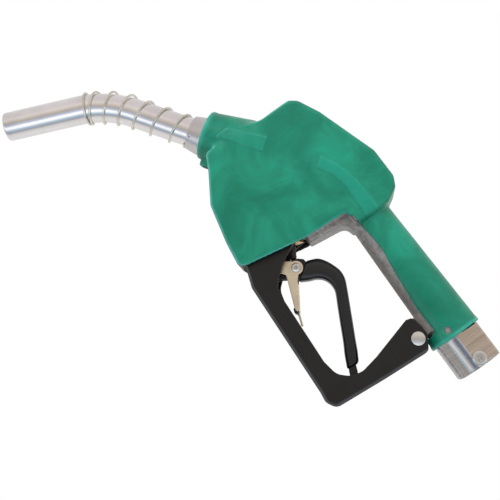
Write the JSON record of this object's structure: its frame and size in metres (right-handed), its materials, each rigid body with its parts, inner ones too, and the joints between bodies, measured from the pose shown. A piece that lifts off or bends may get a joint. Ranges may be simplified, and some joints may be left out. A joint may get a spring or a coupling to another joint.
{
  "type": "fuel nozzle",
  "caption": "Automatic shut-off fuel nozzle with bent wire-wound spout, moulded hand insulator, sleeved trigger in a channel guard and threaded hose inlet.",
  "frame": {"origin": "centre of the hose inlet's mouth, on the inlet's axis", "axes": "+X out of the hose inlet along the handle, +Z away from the trigger, +Y across the width; the spout runs towards -X and -Z"},
  "size_m": [0.3927, 0.0492, 0.2353],
  "materials": {
    "cast_aluminium": "shot-blast casting",
    "green_vinyl": "semi-gloss moulded vinyl",
    "zinc_steel": "bright zinc plate",
    "stainless": "drawn",
    "machined_aluminium": "turned",
    "seal_rubber": "matt",
    "spout_aluminium": "polished, worn",
    "brass": "turned",
    "spring_wire": "drawn wire",
    "packing": "fluoropolymer",
    "black_metal": "black coated",
    "black_sleeve": "semi-gloss moulded",
    "clip_steel": "yellow-tinged zinc plate",
    "black_guard": "black coating, satin"
  },
  "bodies": {
    "nozzle_body": {"body_casting": "cast_aluminium", "hand_insulator": "green_vinyl", "inlet_screw": "zinc_steel", "inlet_strainer": "stainless", "spout_bushing": "machined_aluminium", "bushing_o_ring": "seal_rubber", "spout_set_screw": "zinc_steel", "spout_tube": "spout_aluminium", "vent_tube": "brass", "spout_wire": "spring_wire", "check_seat": "brass", "check_spring": "stainless", "seat_ring": "brass", "packing_nut": "brass", "stem_packing": "packing", "poppet_spring": "stainless", "valve_cap": "cast_aluminium", "cap_o_ring": "seal_rubber", "plunger_gland": "brass", "plunger_spring": "stainless", "diaphragm": "seal_rubber", "diaphragm_cap": "cast_aluminium", "diaphragm_spring": "stainless", "guard": "black_guard", "guard_rack": "black_sleeve", "guard_rear_pin": "zinc_steel", "guard_front_screws": "zinc_steel"},
    "plunger": {"latch_plunger": "stainless", "latch_balls": "stainless", "lever_pin": "zinc_steel"},
    "latch_release": {"latch_pin": "stainless"},
    "trigger": {"lever_core": "black_metal", "lever_sleeve": "black_sleeve", "clip_rivet": "zinc_steel", "clip_spring": "stainless"},
    "clip": {"hold_open_clip": "clip_steel", "clip_tip": "black_sleeve"},
    "main_valve": {"valve_stem": "black_metal", "valve_disc": "seal_rubber", "valve_poppet": "brass"},
    "check_valve": {"check_poppet": "brass"}
  },
  "joints": [
    {"name": "plunger_slide", "type": "slide", "parent": "nozzle_body", "child": "plunger", "axis": [0.9925, 0, -0.1219], "range_m": [0, 0.006], "stiffness_N_per_m": 800, "springref_m": -0.01, "deforming": ["plunger_spring"]},
    {"name": "latch_pin_slide", "type": "slide", "parent": "nozzle_body", "child": "latch_release", "axis": [-0.9925, 0, 0.1219], "range_m": [0, 0.003], "stiffness_N_per_m": 300, "springref_m": -0.004, "deforming": ["diaphragm_spring", "diaphragm"]},
    {"name": "trigger_hinge", "type": "hinge", "parent": "plunger", "child": "trigger", "pos_m": [-0.15, 0, -0.09], "axis": [0, -1, 0], "range_deg": [0, 18], "stiffness_Nm_per_rad": 1.2, "springref_deg": -20.05},
    {"name": "clip_hinge", "type": "hinge", "parent": "trigger", "child": "clip", "pos_m": [-0.141, 0, -0.07], "axis": [0, -1, 0], "range_deg": [-5, 22], "stiffness_Nm_per_rad": 0.15, "deforming": ["clip_spring"]},
    {"name": "main_valve_slide", "type": "slide", "parent": "nozzle_body", "child": "main_valve", "axis": [-0.866, 0, 0.5], "range_m": [0, 0.0084], "deforming": ["poppet_spring"]},
    {"name": "check_valve_slide", "type": "slide", "parent": "nozzle_body", "child": "check_valve", "axis": [-0.8285, 0, -0.5599], "range_m": [0, 0.005], "stiffness_N_per_m": 60, "springref_m": -0.004, "deforming": ["check_spring"]}
  ],
  "couplings": [
    {"joint": "main_valve_slide", "follows": "trigger_hinge", "m_per_rad": 0.0257}
  ]
}
